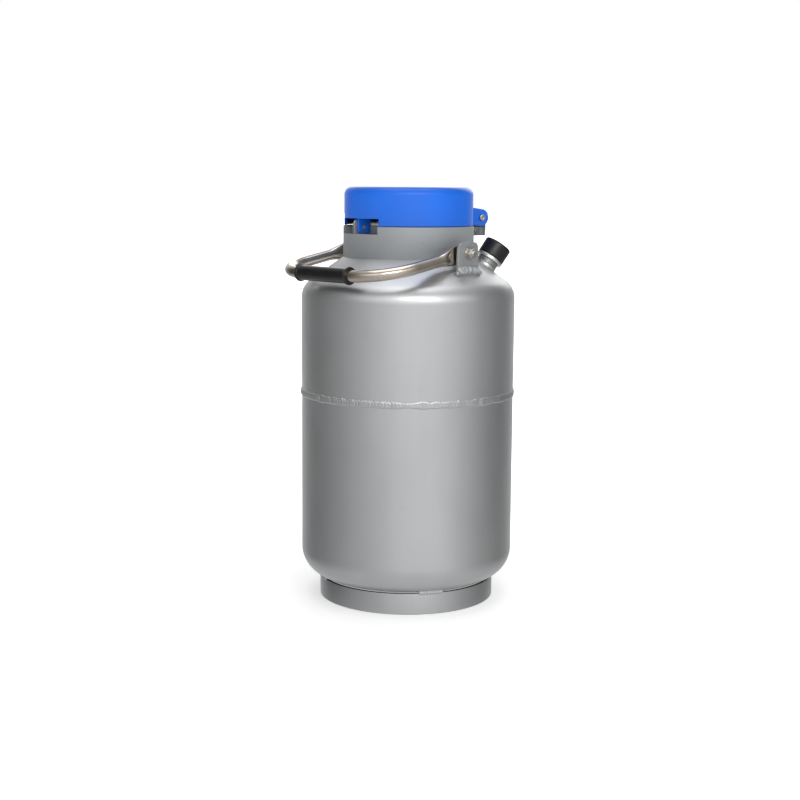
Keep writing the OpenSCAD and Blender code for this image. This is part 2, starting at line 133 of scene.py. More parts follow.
def paint(name, c0, c1, metallic, r0, r1, grain, grain_d, coat=0.0, coat_r=0.2, wear=0.35, bare=(0.5, 0.5, 0.5), dirt=0.12, streak=0.06, spec=0.5, wlo=0.53, whi=0.63):
    """Sprayed paint: large tone drift, vertical run streaks, orange peel, fine grain, worn edges."""
    t = NT(name)
    drift = t.rng(t.noise(6, 3, 0.5), 0.35, 0.65, 0, 1)
    col = t.mix(drift, c0, c1)
    st = t.rng(t.noise(26, 4, 0.6, stretch=(1, 1, 0.09)), 0.35, 0.7, 0, streak)
    col = t.mix(st, col, tuple(x * 0.62 for x in c0))
    spots = t.rng(t.noise(150, 3, 0.7), 0.62, 0.74, 0, dirt)
    col = t.mix(spots, col, tuple(x * 0.45 for x in c0))
    if wear > 0:
        w = t.math('MULTIPLY', t.wear(wlo, whi), t.rng(t.noise(90, 4, 0.7), 0.42, 0.6, 0, wear))
        col = t.mix(w, col, bare)
    t.link(col, t.p.inputs["Base Color"])
    rough = t.rng(t.noise(14, 5, 0.6), 0.3, 0.7, r0, r1)
    t.link(rough, t.p.inputs["Roughness"])
    peel = t.bump(t.noise(grain, 2, 0.5), grain_d)
    fine = t.bump(t.noise(grain * 4.5, 3, 0.6), grain_d * 0.22, prev=peel)
    t.link(fine, t.p.inputs["Normal"])
    t.set(Metallic=metallic, Specular_IOR_Level=spec, Coat_Weight=coat, Coat_Roughness=coat_r)
    return t.m

def metal(name, c0, c1, r0, r1, scratch=(1, 1, 1), sscale=240, sd=0.00002, dirt=0.2, dirty=(0.12, 0.10, 0.08)):
    """Bare metal: tone drift, directional fine scratches, smudged roughness and grime spots."""
    t = NT(name)
    col = t.mix(t.rng(t.noise(18, 4, 0.6), 0.35, 0.65, 0, 1), c0, c1)
    gr = t.rng(t.noise(120, 4, 0.7), 0.58, 0.72, 0, dirt)
    col = t.mix(gr, col, dirty)
    t.link(col, t.p.inputs["Base Color"])
    sc = t.noise(sscale, 5, 0.7, stretch=scratch)
    rough = t.rng(t.math('ADD', t.math('MULTIPLY', sc, 0.5), t.math('MULTIPLY', t.noise(22, 4, 0.6), 0.5)), 0.35, 0.65, r0, r1)
    t.link(rough, t.p.inputs["Roughness"])
    t.link(t.bump(sc, sd), t.p.inputs["Normal"])
    t.set(Metallic=1.0)
    return t.m

def plastic(name, c0, c1, r0, r1, grain=900, gd=0.00006, spec=0.45, dust=0.1, dustc=(0.3, 0.3, 0.3)):
    t = NT(name)
    col = t.mix(t.rng(t.noise(30, 4, 0.6), 0.35, 0.65, 0, 1), c0, c1)
    col = t.mix(t.math('MULTIPLY', t.wear(0.52, 0.66), t.rng(t.noise(160, 4, 0.7), 0.4, 0.65, 0, dust * 2)), col, dustc)
    col = t.mix(t.rng(t.noise(260, 3, 0.7), 0.62, 0.75, 0, dust), col, dustc)
    t.link(col, t.p.inputs["Base Color"])
    t.link(t.rng(t.noise(40, 4, 0.6), 0.3, 0.7, r0, r1), t.p.inputs["Roughness"])
    b = t.bump(t.voronoi(grain), gd * 0.6)
    t.link(t.bump(t.noise(grain * 1.6, 3, 0.6), gd, prev=b), t.p.inputs["Normal"])
    t.set(Specular_IOR_Level=spec)
    return t.m

M = {}
# painted shade: the silver paint turns near-black below z 32.8 mm, fading in from 33.6 mm, where the vessel's bottom
# meets the gap above the foot ring
M["silver"] = painted_gap_shade(paint("silver_paint_m", (0.535, 0.545, 0.555), (0.575, 0.585, 0.59), 0.90, 0.32, 0.39, 620, 0.00005, wear=0.0, dirt=0.10, streak=0.10), 33.6, 32.8, (0.015, 0.015, 0.015))
M["tack"] = paint("tack_paint_m", (0.50, 0.51, 0.52), (0.55, 0.56, 0.565), 0.90, 0.30, 0.40, 620, 0.00005, wear=0.3, bare=(0.75, 0.75, 0.75), dirt=0.3, streak=0.0)
# painted shade: the foot ring's paint turns near-black above z 29.7 mm, fading in from 29.4 mm, along its top edge in
# the gap under the vessel
M["foot"] = painted_gap_shade(paint("foot_paint_m", (0.50, 0.51, 0.52), (0.54, 0.55, 0.555), 0.90, 0.33, 0.42, 620, 0.00005, wear=0.3, bare=(0.75, 0.75, 0.75), dirt=0.18, streak=0.10), 29.4, 29.7, (0.015, 0.015, 0.015))
M["silver_weld"] = paint("silver_weld_m", (0.52, 0.53, 0.54), (0.585, 0.59, 0.60), 0.9, 0.27, 0.36, 700, 0.00006, wear=0.5, bare=(0.85, 0.85, 0.85), dirt=0.25, streak=0.0)
M["grey"] = paint("grey_paint_m", (0.27, 0.285, 0.30), (0.31, 0.325, 0.34), 0.35, 0.50, 0.60, 900, 0.00007, wear=0.35, bare=(0.55, 0.55, 0.55), dirt=0.22, streak=0.10, spec=0.4)
M["lug"] = paint("lug_paint_m", (0.27, 0.28, 0.29), (0.33, 0.34, 0.35), 0.6, 0.38, 0.50, 800, 0.00006, wear=0.6, bare=(0.75, 0.75, 0.75), dirt=0.25, streak=0.08)
M["blue"] = paint("blue_paint_m", (0.002, 0.100, 0.54), (0.003, 0.120, 0.63), 0.0, 0.30, 0.40, 700, 0.00006, coat=0.12, coat_r=0.22, wear=0.20, bare=(0.10, 0.22, 0.70), dirt=0.12, streak=0.14, spec=0.36)
M["dark"] = paint("dark_block_m", (0.055, 0.06, 0.066), (0.085, 0.09, 0.095), 0.5, 0.42, 0.55, 900, 0.00006, wear=0.5, bare=(0.4, 0.4, 0.4), dirt=0.2, streak=0.0)
M["tube"] = metal("polished_tube_m", (0.52, 0.455, 0.39), (0.62, 0.56, 0.49), 0.10, 0.20, scratch=(1, 1, 1), sscale=320, sd=0.000012, dirt=0.16)
M["steel"] = metal("stainless_m", (0.54, 0.51, 0.47), (0.66, 0.63, 0.59), 0.28, 0.42, sscale=500, sd=0.00002, dirt=0.25)
M["bright"] = metal("bright_ring_m", (0.60, 0.60, 0.59), (0.70, 0.70, 0.69), 0.26, 0.38, sscale=500, sd=0.00001, dirt=0.08)
M["cast"] = metal("port_stem_m", (0.42, 0.42, 0.41), (0.54, 0.54, 0.53), 0.34, 0.5, sscale=600, sd=0.00003, dirt=0.4)
M["alu"] = metal("bare_aluminium_m", (0.62, 0.63, 0.64), (0.72, 0.73, 0.74), 0.30, 0.45, sscale=300, sd=0.00002, dirt=0.12)
M["grip"] = plastic("black_grip_m", (0.004, 0.004, 0.0045), (0.007, 0.007, 0.0075), 0.24, 0.36, grain=1100, gd=0.00003, dust=0.06)
M["cap"] = plastic("black_cap_m", (0.004, 0.0043, 0.0047), (0.007, 0.0073, 0.008), 0.26, 0.38, grain=1300, gd=0.00003, dust=0.07)
M["rubber"] = plastic("black_rubber_m", (0.012, 0.012, 0.012), (0.02, 0.02, 0.02), 0.55, 0.7, grain=900, gd=0.00005, dust=0.05)
M["white"] = plastic("white_plastic_m", (0.50, 0.50, 0.48), (0.60, 0.60, 0.57), 0.55, 0.70, grain=700, gd=0.00004, spec=0.12, dust=0.06, dustc=(0.4, 0.38, 0.33))
M["foam"] = plastic("foam_m", (0.70, 0.67, 0.56), (0.78, 0.76, 0.66), 0.8, 0.95, grain=420, gd=0.0005, dust=0.2, dustc=(0.5, 0.46, 0.36))
M["fibre"] = plastic("glass_fibre_m", (0.30, 0.34, 0.14), (0.40, 0.43, 0.20), 0.28, 0.4, grain=500, gd=0.0001, dust=0.05)
M["wrap"] = metal("foil_wrap_m", (0.72, 0.72, 0.70), (0.82, 0.82, 0.80), 0.25, 0.45, sscale=60, sd=0.0006, dirt=0.05)

# ------------------------------------------------------------------ mesh helpers
def make(name, verts, faces, mat, body, mtx=None, sharp=38, node=None):
    """Builds a closed mesh given in millimetres, links it to the scene and parents it to its body's empty."""
    me = bpy.data.meshes.new(name)
    if mtx is not None: verts = [mtx @ Vector(v) for v in verts]
    me.from_pydata([(v[0] * MM, v[1] * MM, v[2] * MM) for v in verts], [], faces)
    me.validate()
    o = bpy.data.objects.new(name, me)
    bpy.context.scene.collection.objects.link(o)
    return dress(o, mat, body, sharp, node)

def dress(o, mat, body, sharp=38, node=None):
    me = o.data
    bm = bmesh.new(); bm.from_mesh(me)
    bmesh.ops.remove_doubles(bm, verts=bm.verts, dist=2e-7)
    bmesh.ops.recalc_face_normals(bm, faces=bm.faces)
    bm.to_mesh(me); bm.free()
    me.shade_smooth(); me.set_sharp_from_angle(angle=rad(sharp))
    me.materials.clear(); me.materials.append(mat)
    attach(o, body)
    if node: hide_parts(*([node] if isinstance(node, str) else node))
    return o

def fillet(pts, closed=True, seg=5):
    """Rounds the corners of an (r, z, radius) outline."""
    out = []; n = len(pts)
    for i in range(n):
        r, z, f = pts[i]
        if f <= 0 or (not closed and i in (0, n - 1)): out.append((r, z)); continue
        p = Vector((r, z)); a = Vector(pts[i - 1][:2]); b = Vector(pts[(i + 1) % n][:2])
        u = (a - p).normalized(); v = (b - p).normalized()
        ang = math.acos(max(-1, min(1, u.dot(v))))
        if ang < 0.02 or ang > pi - 0.02: out.append((r, z)); continue
        d = min(f / tan(ang / 2), 0.49 * (a - p).length, 0.49 * (b - p).length); f2 = d * tan(ang / 2)
        c = p + (u + v).normalized() * (f2 / sin(ang / 2))
        s = p + u * d; e = p + v * d
        a0 = math.atan2(s.y - c.y, s.x - c.x); a1 = math.atan2(e.y - c.y, e.x - c.x)
        da = (a1 - a0 + pi) % (2 * pi) - pi
        for k in range(seg + 1):
            t = a0 + da * k / seg; out.append((c.x + f2 * cos(t), c.y + f2 * sin(t)))
    return out

def lathe(name, prof, mat, body, mtx=None, seg=192, disp=None, sharp=38, node=None, axis_closed=False):
    """Revolves an (r, z) outline. A closed ring outline gives a ring; axis_closed joins first and last points to the axis."""
    verts, faces = [], []; n = len(prof)
    for j in range(seg):
        a = 2 * pi * j / seg; ca, sa = cos(a), sin(a)
        for (r, z) in prof:
            dr = dz = 0.0
            if disp: dr, dz = disp(a, r, z)
            verts.append(((r + dr) * ca, (r + dr) * sa, z + dz))
    for j in range(seg):
        b0, b1 = j * n, ((j + 1) % seg) * n
        for i in range(n if not axis_closed else n - 1):
            i2 = (i + 1) % n; faces.append((b0 + i, b1 + i, b1 + i2, b0 + i2))
    if axis_closed:
        for i, flip in ((0, 1), (n - 1, 0)):
            c = len(verts); z = sum(verts[j * n + i][2] for j in range(seg)) / seg
            verts.append((0, 0, z))
            for j in range(seg):
                f = (j * n + i, ((j + 1) % seg) * n + i, c); faces.append(f[::-1] if flip else f)
    return make(name, verts, faces, mat, body, mtx, sharp, node)

def apply_mods(o):
    dg = bpy.context.evaluated_depsgraph_get()
    me = bpy.data.meshes.new_from_object(o.evaluated_get(dg))
    o.modifiers.clear(); old = o.data; o.data = me; bpy.data.meshes.remove(old)

def boolean(o, cutters, op='DIFFERENCE'):
    for c in cutters:
        m = o.modifiers.new("b", 'BOOLEAN'); m.operation = op; m.solver = 'EXACT'; m.object = c
    bpy.context.view_layer.update(); apply_mods(o)
    for c in cutters:
        me = c.data; bpy.data.objects.remove(c); bpy.data.meshes.remove(me)

def bevel(o, w, seg=3, angle=35):
    m = o.modifiers.new("bv", 'BEVEL'); m.width = w * MM; m.segments = seg; m.limit_method = 'ANGLE'
    m.angle_limit = rad(angle); m.harden_normals = False; m.use_clamp_overlap = True
    bpy.context.view_layer.update(); apply_mods(o)

def raw(name, verts, faces, mtx=None):
    me = bpy.data.meshes.new(name)
    if mtx is not None: verts = [mtx @ Vector(v) for v in verts]
    me.from_pydata([(v[0] * MM, v[1] * MM, v[2] * MM) for v in verts], [], faces)
    o = bpy.data.objects.new(name, me); bpy.context.scene.collection.objects.link(o)
    bm = bmesh.new(); bm.from_mesh(me); bmesh.ops.recalc_face_normals(bm, faces=bm.faces); bm.to_mesh(me); bm.free()
    return o

def boxraw(name, lo, hi, mtx=None):
    v = [(x, y, z) for x in (lo[0], hi[0]) for y in (lo[1], hi[1]) for z in (lo[2], hi[2])]
    f = [(0, 1, 3, 2), (4, 6, 7, 5), (0, 4, 5, 1), (2, 3, 7, 6), (0, 2, 6, 4), (1, 5, 7, 3)]
    return raw(name, v, f, mtx)

def cylraw(name, r, z0, z1, mtx=None, seg=48):
    v = [(r * cos(2 * pi * k / seg), r * sin(2 * pi * k / seg), z) for z in (z0, z1) for k in range(seg)]
    f = [(k, (k + 1) % seg, seg + (k + 1) % seg, seg + k) for k in range(seg)] + [tuple(range(seg))[::-1], tuple(range(seg, 2 * seg))]
    return raw(name, v, f, mtx)

def plate(name, outline, holes, thick, bev, mat, body, mtx, node=None, res=3):
    """A flat plate from a closed outline and round holes, with rolled edges, lying in XY and centred on z = 0."""
    cu = bpy.data.curves.new(name, 'CURVE'); cu.dimensions = '2D'; cu.fill_mode = 'BOTH'
    def spl(pts):
        s = cu.splines.new('POLY'); s.points.add(len(pts) - 1)
        for p, (x, y) in zip(s.points, pts): p.co = (x * MM, y * MM, 0, 1)
        s.use_cyclic_u = True
    spl(outline)
    for (x, y, r) in holes: spl([(x + r * cos(-2 * pi * k / 48), y + r * sin(-2 * pi * k / 48)) for k in range(48)])
    cu.extrude = (thick / 2 - bev) * MM; cu.bevel_depth = bev * MM; cu.bevel_resolution = res; cu.offset = -bev * MM
    tmp = bpy.data.objects.new(name + "_c", cu); bpy.context.scene.collection.objects.link(tmp)
    bpy.context.view_layer.update()
    me = bpy.data.meshes.new_from_object(tmp.evaluated_get(bpy.context.evaluated_depsgraph_get())); me.name = name
    bpy.data.objects.remove(tmp); bpy.data.curves.remove(cu)
    S = Matrix.Scale(MM, 4)
    me.transform(S @ mtx @ S.inverted())
    o = bpy.data.objects.new(name, me); bpy.context.scene.collection.objects.link(o)
    return dress(o, mat, body, 30, node)

def arc(cx, cy, r, a0, a1, n=10):
    return [(cx + r * cos(rad(a0 + (a1 - a0) * k / n)), cy + r * sin(rad(a0 + (a1 - a0) * k / n))) for k in range(n + 1)]

def weld(name, path, mat, body, slot, width, height, pitch=2.6, closed=False, seed=1, ns=None, nw=16, node=None, sink=0.6, amp=0.35, flat=2.3, rag=0.10):
    """A deposited weld bead along path(s) -> (point, tangent, out normal), with crescent ripples."""
    fn, length = path
    ns = ns or max(24, int(length / (pitch / 7)))
    verts, faces = [], []
    rnd = random.Random(seed)
    steps = ns if closed else ns + 1
    ring = nw + 1
    for i in range(steps):
        s = length * i / ns
        p, t, nrm = fn(s); b = t.cross(nrm).normalized()
        if closed:
            a = 2 * pi * s / length; q = Vector((cos(a) * 9, sin(a) * 9, seed * 3.1)); end = 1.0
        else:
            q = Vector((s * 0.11, seed * 2.7, 0)); e = min(s, length - s) / (width * 0.5); end = math.sqrt(max(0.0, 1 - (1 - min(e, 1)) ** 2))
        wv = width * (1 + rag * noise.noise(q * 2.1)) * (0.55 + 0.45 * end); off = width * 0.045 * noise.noise(q * 1.3 + Vector((5, 5, 5)))
        hv = height * (1 + 0.14 * noise.noise(q * 1.7 + Vector((9, 1, 2)))) * end
        for k in range(ring):
            w = -1 + 2 * k / nw
            dome = (1 - abs(w) ** flat)
            edge = 1 + 0.055 * math.sin(2 * pi * (s / pitch) + 1.3)
            ph = (s / pitch + 0.55 * w * w + 0.10 * noise.noise(q * 6)) % 1.0
            rip = (ph ** 0.65) if ph < 0.86 else (1 - ph) / 0.14 * 0.905
            al = amp * max(0.15, min(1.0, 0.62 + 0.95 * noise.noise(q * 3.3 + Vector((2, 7, 4)))))
            grit = 0.10 * noise.noise(Vector((s * 0.9, w * 3.0, seed))) + 0.06 * noise.noise(Vector((s * 2.3, w * 6.0, seed + 9)))
            h = hv * dome * (1 - al + al * rip + grit) - sink * (1 - dome)
            verts.append(p + b * (w * wv / 2 * edge + off) + nrm * h)
        verts.append(p - nrm * (sink + 0.5) + b * off)
    n = ring + 1
    for i in range(ns if closed else ns):
        b0 = i * n; b1 = ((i + 1) % steps) * n
        for k in range(n): k2 = (k + 1) % n; faces.append((b0 + k, b0 + k2, b1 + k2, b1 + k))
    if not closed:
        faces.append(tuple(range(n))[::-1]); faces.append(tuple(range((steps - 1) * n, steps * n)))
    return verts, faces

def smoothstep(a, b, x):
    t = max(0.0, min(1.0, (x - a) / (b - a))); return t * t * (3 - 2 * t)

def thin(prof, t):
    """Closed outline of a sheet of thickness t whose outer side is prof, listed upwards or inwards."""
    inner = []
    for i, p in enumerate(prof):
        a = Vector(prof[max(i - 1, 0)]); b = Vector(prof[min(i + 1, len(prof) - 1)])
        d = (b - a).normalized(); nrm = Vector((-d.y, d.x))
        inner.append((max(0.0, p[0] + nrm.x * t), p[1] + nrm.y * t))
    return list(prof) + inner[::-1]

# ------------------------------------------------------------------ outer shell
LOW = []
low_a = 82.0; cz = 70 + 110 * tan(rad(low_a)); cR = 110 / cos(rad(low_a)) + 40
for k in range(26):
    a = rad(90 - (90 - low_a) * k / 25); LOW.append((cR * cos(a), cz - cR * sin(a)))
for k in range(1, 29):
    a = rad(low_a * (1 - k / 28)); LOW.append((110 + 40 * cos(a), 70 - 40 * sin(a)))
for k in range(1, 25): LOW.append((150, 70 + (SEAM - 70) * k / 24))
UP = [(150, SEAM + (426.5 - SEAM) * k / 16) for k in range(17)]
for k in range(1, 19):
    a = rad(55 * k / 18); UP.append((120 + 30 * cos(a), 426.5 + 30 * sin(a)))
for k in range(1, 15):
    r = T_R + (66.2 - T_R) * k / 14; UP.append((r, cone_z(r)))

def wobble(amp):
    """Very slight unevenness of spun and welded sheet; none where other parts meet it."""
    def f(a, r, z):
        q = Vector((cos(a) * 1.7, sin(a) * 1.7, z * 0.012))
        d = amp * noise.noise(q) + amp * 0.5 * noise.noise(q * 2.7)
        if abs(z - SEAM) < 26 and r > 140: d -= 0.16 * (1 - abs(z - SEAM) / 26)
        d = min(d, 0.0 if r > 149.5 else 0.1)
        k = smoothstep(0, 6, r)
        return (d * k, 0.0)
    return f
lathe("shell_lower", [(r if r > 0.02 else 0.02, z) for r, z in thin(LOW, 2.5)], M["silver"], "vessel", seg=288, disp=wobble(0.22), node="outer_shell_lower")
lathe("shell_upper", thin(UP, 2.5), M["silver"], "vessel", seg=288, disp=wobble(0.22), node="outer_shell_upper")

def seam_path(s):
    a = s / 150.0
    return Vector((150 * cos(a), 150 * sin(a), SEAM)), Vector((-sin(a), cos(a), 0)), Vector((cos(a), sin(a), 0))
v, f = weld("w", (seam_path, 2 * pi * 150), M["silver_weld"], "vessel", "s", 9.8, 1.45, pitch=4.6, closed=True, seed=3, ns=2400, nw=24, sink=0.4, amp=0.52, flat=6.0, rag=0.30)
make("girth_weld", v, f, M["silver_weld"], "vessel", sharp=60, node="shell_seam_weld")

# ------------------------------------------------------------------ foot ring and tack welds
ring = fillet([(120, 0, 1.4), (124, 0, 1.4), (124, 29.9, 0.7), (120, 29.9, 0.7)], seg=5)
lathe("foot_hoop", ring, M["foot"], "vessel", seg=240, disp=lambda a, r, z: (0.12 * noise.noise(Vector((cos(a) * 2, sin(a) * 2, z * 0.02))) - 0.12, 0), node="foot_ring")
V, F = [], []
for k in range(4):
    az0 = 16.3 + 90 * k - 8.5
    def tack(s, az0=az0):
        a = rad(az0 + s / 125.0 * 180 / pi - 90)
        n_ = Vector((cos(a), sin(a), 0.10)).normalized()
        return Vector((124.1 * cos(a), 124.1 * sin(a), 32.0)), Vector((-sin(a), cos(a), 0)), n_
    v, f = weld("t", (tack, 125 * rad(17)), None, None, None, 8.2, 2.4, pitch=4.4, seed=20 + k, ns=160, nw=16, sink=1.2, amp=0.30, flat=4.0)
    o0 = len(V); V += v; F += [tuple(i + o0 for i in q) for q in f]
make("foot_tack_welds", V, F, M["tack"], "vessel", sharp=60, node="foot_ring_welds")

# ------------------------------------------------------------------ collar
CP = fillet([(88, 480.6, 0), (91.5, 480.6, 0.6), (91.5, 526.5, 1.1), (58, 526.5, 0.8), (58, 510, 0.6), (66, 510, 0.6), (66, 523, 0.5), (88, 523, 0.5)], seg=4)
col = lathe("collar_c", CP, M["grey"], "vessel", seg=240, node="neck_collar")
# the pocket's box walls
box = boxraw("pb", (62, -45.5, 513), (89.9, 45.5, 524.2), polar(LATCH))
keep = cylraw("kp", 89.9, 400, 600, seg=240)
boolean(box, [keep], 'INTERSECT')
boolean(col, [box], 'UNION')
cut = boxraw("pc", (66.6, -42.5, 516), (130, 42.5, 560), polar(LATCH))
boolean(col, [cut])
bevel(col, 0.45, 2, 40)
col.name = "collar_body"; dress(col, M["grey"], "vessel", 34)

# ------------------------------------------------------------------ lid
LP = fillet([(87, 527.2, 0.5), (90, 527.2, 0.9), (90, 580, 11), (0.02, 580, 0), (0.02, 577, 0), (87, 577, 8)], seg=12)
lid = lathe("lid_s", LP, M["blue"], "lid", seg=240, node="lid_shell")
cut = boxraw("lc", (60, -42.5, 500), (130, 42.5, 537), polar(LATCH))
boolean(lid, [cut]); bevel(lid, 0.6, 3, 40)
lid.name = "lid_body"; dress(lid, M["blue"], "lid", 34)

# ears of the hinge
def ear_outline():
    o = arc(PIN_R, PIN_Z, 12, -92.8, 81.8, 30)
    return o + [(91.0, 553.2), (88.2, 553.6), (88.2, 527.6)]
for i, t0 in enumerate((10.4, -10.4)):
    mtx = polar(HINGE) @ tr(0, t0, 0) @ rx(90)
    plate("lid_ear_" + "ab"[i], ear_outline(), [(PIN_R, PIN_Z, 3.15)], 4.0, 0.55, M["blue"], "lid", mtx, node="lid_hinge_ears" if i == 0 else None)
# fillet welds between ears and lid
V, F = [], []
for t0 in (12.2, 8.6, -8.6, -12.2):
    def ew(s, t0=t0):
        x = math.sqrt(90 ** 2 - t0 ** 2)
        n_ = Vector((0.75, 0.66 if t0 in (12.2, -8.6) else -0.66, 0)).normalized()
        return Vector((x, t0, 529.5 + s)), Vector((0, 0, 1)), n_
    v, f = weld("e", (ew, 22.5), None, None, None, 3.2, 1.0, pitch=2.2, seed=60 + int(t0), ns=60, nw=8, sink=0.8, amp=0.25)
    o0 = len(V); V += v; F += [tuple(i + o0 for i in q) for q in f]
make("lid_ear_welds", V, F, M["blue"], "lid", polar(HINGE), 60)

# hasp tab on the lid and lug in the pocket
tab = arc(69, 519.5, 2, 180, 270, 6) + arc(84, 519.5, 2, 270, 360, 6) + [(86, 537.8), (86.9, 537.8), (86.9, 559.8), (67, 559.8)]
plate("hasp_tab", tab, [(77, 525, 3.2)], 2.5, 0.35, M["blue"], "lid", polar(LATCH) @ tr(0, 2.85, 0) @ rx(90), node="lid_hasp_tab")
lug = [(66.7, 516), (91.2, 516)] + arc(85.2, 530, 6, 0, 90, 10) + [(66.7, 536)]
plate("hasp_lug_plate", lug, [(77, 525, 3.2)], 3.0, 0.4, M["tack"], "vessel", polar(LATCH) @ tr(0, -0.7, 0) @ rx(90), node="hasp_lug")
FO = fillet([(0.02, 562, 0), (84, 562, 2.0), (84, 573, 1.5), (78.5, 576.9, 1.0), (0.02, 576.9, 0)], seg=4)
lathe("lid_foam_disc", FO, M["foam"], "lid", seg=96, node="lid_foam")

# ------------------------------------------------------------------ hinge block, pin and nut
blk = boxraw("hb", (90.4, -12, 511.5), (126.5, 12, 524), polar(HINGE))
neck = boxraw("hn", (109.6, -8, 518), (130.4, 8, PIN_Z), polar(HINGE))
kn = cylraw("hk", 10.5, -8, 8, AT_PIN, 64)
boolean(neck, [kn], 'UNION'); boolean(blk, [neck], 'UNION')
hole = cylraw("hh", 3.05, -20, 20, AT_PIN, 48)
cc = cylraw("hc", 91.4, 480, 600, None, 240)
boolean(blk, [cc, hole]); bevel(blk, 0.6, 3, 40)
blk.name = "hinge_knuckle"; dress(blk, M["dark"], "vessel", 34, "hinge_block")

def hexprof(r, h0, h1, ch, seg=6, sub=16):
    """Hexagon prism with chamfered tips, as rings of a lathe of varying radius."""
    verts, faces = [], []; n = seg * sub
    def hr(a): return r * cos(pi / 6) / cos(((a + pi / 6) % (pi / 3)) - pi / 6)
    fl = r * cos(pi / 6)
    zs = [(h0, fl * 0.97, 1), (h0 + ch * 0.15, None, 1), (h0 + ch, None, 0), (h1 - ch, None, 0), (h1 - ch * 0.15, None, 1), (h1, fl * 0.97, 1)]
    for (z, rr, c) in zs:
        for k in range(n):
            a = 2 * pi * k / n; q = hr(a)
            if rr: q = min(q, rr)
            elif c: q = min(q, fl + 0.25 * (q - fl))
            verts.append((q * cos(a), q * sin(a), z))
    for j in range(len(zs) - 1):
        for k in range(n): faces.append((j * n + k, j * n + (k + 1) % n, (j + 1) * n + (k + 1) % n, (j + 1) * n + k))
    faces.append(tuple(range(n))[::-1]); faces.append(tuple(range((len(zs) - 1) * n, len(zs) * n)))
    return verts, faces

# the pin: a shoulder screw with a hexagon socket
PP = fillet([(0.02, -15.2, 0), (4.7, -15.2, 0.9), (4.7, -12.7, 0.3), (3, -12.7, 0.2), (3, 18, 0.6), (0.02, 18, 0)], closed=False, seg=4)
pin = lathe("pin_s", PP, M["steel"], "vessel", AT_PIN, seg=72, node="hinge_pin", axis_closed=False)
boolean(pin, [cylraw("hx", 2.6, -20, -13.6, AT_PIN, 6)]); pin.name = "hinge_screw"; dress(pin, M["steel"], "vessel", 30)
v, f = hexprof(5.6, 12.8, 17.6, 0.7)
make("hinge_lock_nut", v, f, M["steel"], "vessel", AT_PIN, 28, node="hinge_nut")

# ------------------------------------------------------------------ handle lugs, welds and bolts
V, F = [], []
for i, az in enumerate((LUG_AZ, LUG_AZ + 180)):
    out = [(-20.6, 461), (20.6, 461)] + arc(11.7, 500.2, 6.8, 4, 90, 12) + arc(-11.7, 500.2, 6.8, 90, 176, 12)
    mtx = polar(az) @ tr(115.75, 0, 0) @ Matrix(((0, 0, 1, 0), (1, 0, 0, 0), (0, 1, 0, 0), (0, 0, 0, 1)))
    o = plate("bail_lug_" + "ab"[i], out, [(0, PIVOT_Z, 4.15)], 4.5, 0.8, M["lug"], "vessel", mtx, node=("handle_lug_front", "handle_lug_rear")[i])
    for side, (x, nx, w, h) in enumerate(((117.6, 0.97, 13.5, 4.3), (113.8, -0.97, 10.0, 2.8))):
        def lw(s, x=x, nx=nx, az=az):
            t = -20.5 + s
            rr = math.hypot(x, t)
            wob = 0.5 * noise.noise(Vector((s * 0.16, az, x)))
            p = polar(az) @ Vector((x + (0.5 if nx > 0 else -0.3) + wob * 0.4, t, cone_z(rr) + (5.0 if nx > 0 else 3.6) + wob)); n_ = (polar(az) @ Vector((nx, 0, 0.22))).normalized()
            return p, (polar(az) @ Vector((0, 1, 0))), n_
        v, f = weld("l", (lw, 41), None, None, None, w, h, pitch=6.6, seed=80 + 3 * i + side, ns=260, nw=20, sink=1.0, amp=0.85, flat=3.4, rag=0.2)
        o0 = len(V); V += v; F += [tuple(q + o0 for q in g) for g in f]
    for s_ in (-1, 1):
        bm = bmesh.new(); bmesh.ops.create_icosphere(bm, subdivisions=4, radius=1.0)
        c = polar(az) @ Vector((117.4, s_ * 20.2, cone_z(118) + 1.2)); o0 = len(V)
        for q in bm.verts:
            d = q.co.copy(); k = 1 + 0.10 * noise.noise(d * 1.8 + Vector((az, s_, 0)))
            V.append(c + Vector((d.x * 4.4, d.y * 4.4, d.z * 3.7)) * k)
        F += [tuple(x.index + o0 for x in g.verts) for g in bm.faces]; bm.free()
make("bail_lug_welds", V, F, M["lug"], "vessel", None, 60, node="lug_welds")

V, F = [], []
def add(v, f, mtx=None):
    o0 = len(V)
    V.extend([(mtx @ Vector(q)) if mtx is not None else Vector(q) for q in v]); F.extend([tuple(i + o0 for i in g) for g in f])
def ringmesh(prof, seg=72):
    v, f = [], []; n = len(prof)
    for j in range(seg):
        a = 2 * pi * j / seg
        v += [(r * cos(a), r * sin(a), z) for r, z in prof]
    for j in range(seg):
        for i in range(n): f.append((j * n + i, ((j + 1) % seg) * n + i, ((j + 1) % seg) * n + (i + 1) % n, j * n + (i + 1) % n))
    return v, f
BM = [polar(az) @ tr(0, 0, PIVOT_Z) @ ry(90) for az in (LUG_AZ, LUG_AZ + 180)]
for m_ in BM:
    v, f = hexprof(7.4, 101.2, 106.6, 0.8); add(v, f, m_)
    thread = [(0.02, 106.4), (4, 106.4), (4, 119)]
    z = 119.0
    while z < 128.6: thread += [(4.0, z), (4.0, z + 0.25), (3.62, z + 0.62), (3.62, z + 0.75)]; z += 1.12
    thread += [(3.9, 129.2), (3.3, 130.0), (0.02, 130.0)]
    v, f = ringmesh(thread, 64); add(v, f, m_)
make("bail_bolts", V, F, M["steel"], "vessel", None, 28, node="handle_bolts")
V, F = [], []
for m_ in BM:
    v, f = ringmesh(fillet([(4.1, 110.9, 0.2), (9, 110.9, 0.4), (9, 113.4, 0.4), (4.1, 113.4, 0.2)], seg=3)); add(v, f, m_)
make("bail_spacers", V, F, M["white"], "vessel", None, 30, node="handle_spacers")
V, F = [], []
